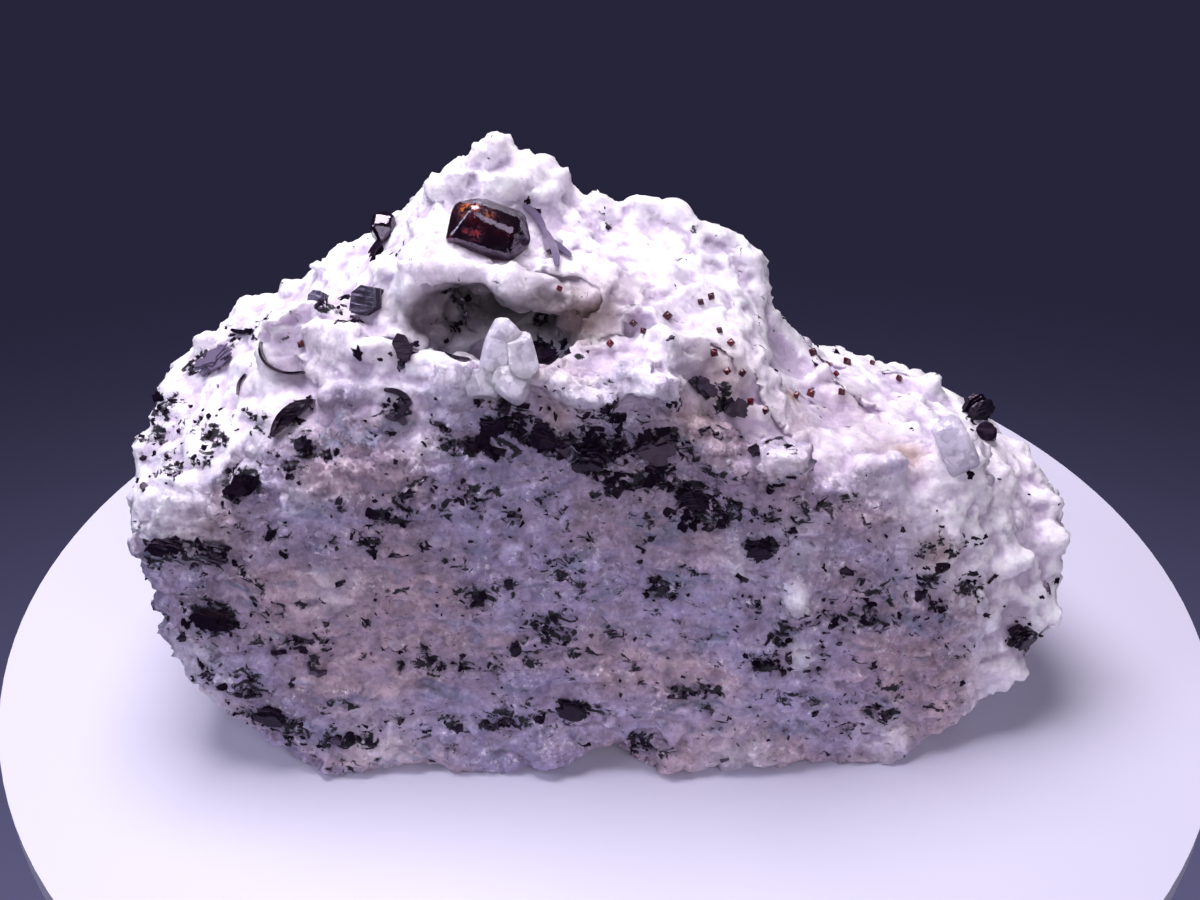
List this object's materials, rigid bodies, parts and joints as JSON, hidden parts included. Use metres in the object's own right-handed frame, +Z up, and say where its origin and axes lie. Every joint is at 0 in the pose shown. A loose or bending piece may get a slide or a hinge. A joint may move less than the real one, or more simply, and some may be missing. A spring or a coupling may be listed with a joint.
{
  "type": "pyrochlore in matrix specimen",
  "caption": "Loose mineral specimen: a broken block of white sugary albite rock with a small hollow, set with red-brown pyrochlore crystals and black biotite books.",
  "frame": {"origin": "under the middle of the bounding box, on the plane that the block's underside rests on", "axes": "+X along the block's longest side, to the right of its front fracture face; +Y towards its back; +Z up"},
  "size_m": [0.0448, 0.0266, 0.0249],
  "materials": {
    "albite": "sugary crystalline rock, white to pale lilac, translucent at its grain edges, faint glassy sparkle",
    "pyrochlore": "dark red-brown translucent crystal, glassy to resinous lustre, orange glow where thin",
    "biotite": "black mica with a glossy, slightly pearly cleavage"
  },
  "bodies": {
    "root": {"pyrochlore_main": "pyrochlore", "pyrochlore_left": "pyrochlore", "pyrochlore_small_01": "pyrochlore", "pyrochlore_small_02": "pyrochlore", "pyrochlore_small_03": "pyrochlore", "pyrochlore_small_04": "pyrochlore", "pyrochlore_small_05": "pyrochlore", "pyrochlore_small_06": "pyrochlore", "pyrochlore_small_07": "pyrochlore", "pyrochlore_small_08": "pyrochlore", "pyrochlore_small_09": "pyrochlore", "pyrochlore_small_10": "pyrochlore", "pyrochlore_small_11": "pyrochlore", "pyrochlore_small_12": "pyrochlore", "pyrochlore_small_13": "pyrochlore", "pyrochlore_small_14": "pyrochlore", "pyrochlore_small_15": "pyrochlore", "pyrochlore_small_16": "pyrochlore", "pyrochlore_small_17": "pyrochlore", "pyrochlore_small_18": "pyrochlore", "pyrochlore_small_19": "pyrochlore", "pyrochlore_small_20": "pyrochlore", "pyrochlore_small_21": "pyrochlore", "pyrochlore_small_22": "pyrochlore", "pyrochlore_small_23": "pyrochlore", "pyrochlore_small_24": "pyrochlore", "biotite_hexagon_large": "biotite", "biotite_hexagon_small": "biotite", "biotite_oval": "biotite", "biotite_fork_upper": "biotite", "biotite_fork_lower": "biotite", "biotite_skyline_blade": "biotite", "biotite_hollow_plate": "biotite", "biotite_cluster_left": "biotite", "biotite_cluster_right": "biotite", "biotite_corner_top": "biotite", "biotite_corner_low": "biotite", "biotite_grey_plate": "biotite", "biotite_glossy": "biotite", "biotite_streak_left": "biotite", "biotite_streak_right": "biotite", "biotite_patch_left": "biotite", "biotite_border_1": "biotite", "biotite_border_2": "biotite", "biotite_border_3": "biotite", "biotite_border_4": "biotite", "biotite_border_5": "biotite", "biotite_right_low": "biotite", "biotite_foot_left": "biotite", "biotite_foot_middle": "biotite", "biotite_left_cluster": "biotite", "biotite_left_dot": "biotite", "biotite_back_left": "biotite", "biotite_back_right": "biotite", "biotite_back_top": "biotite", "biotite_bent_blade": "biotite", "biotite_crescent": "biotite", "matrix": "albite"}
  },
  "joints": []
}
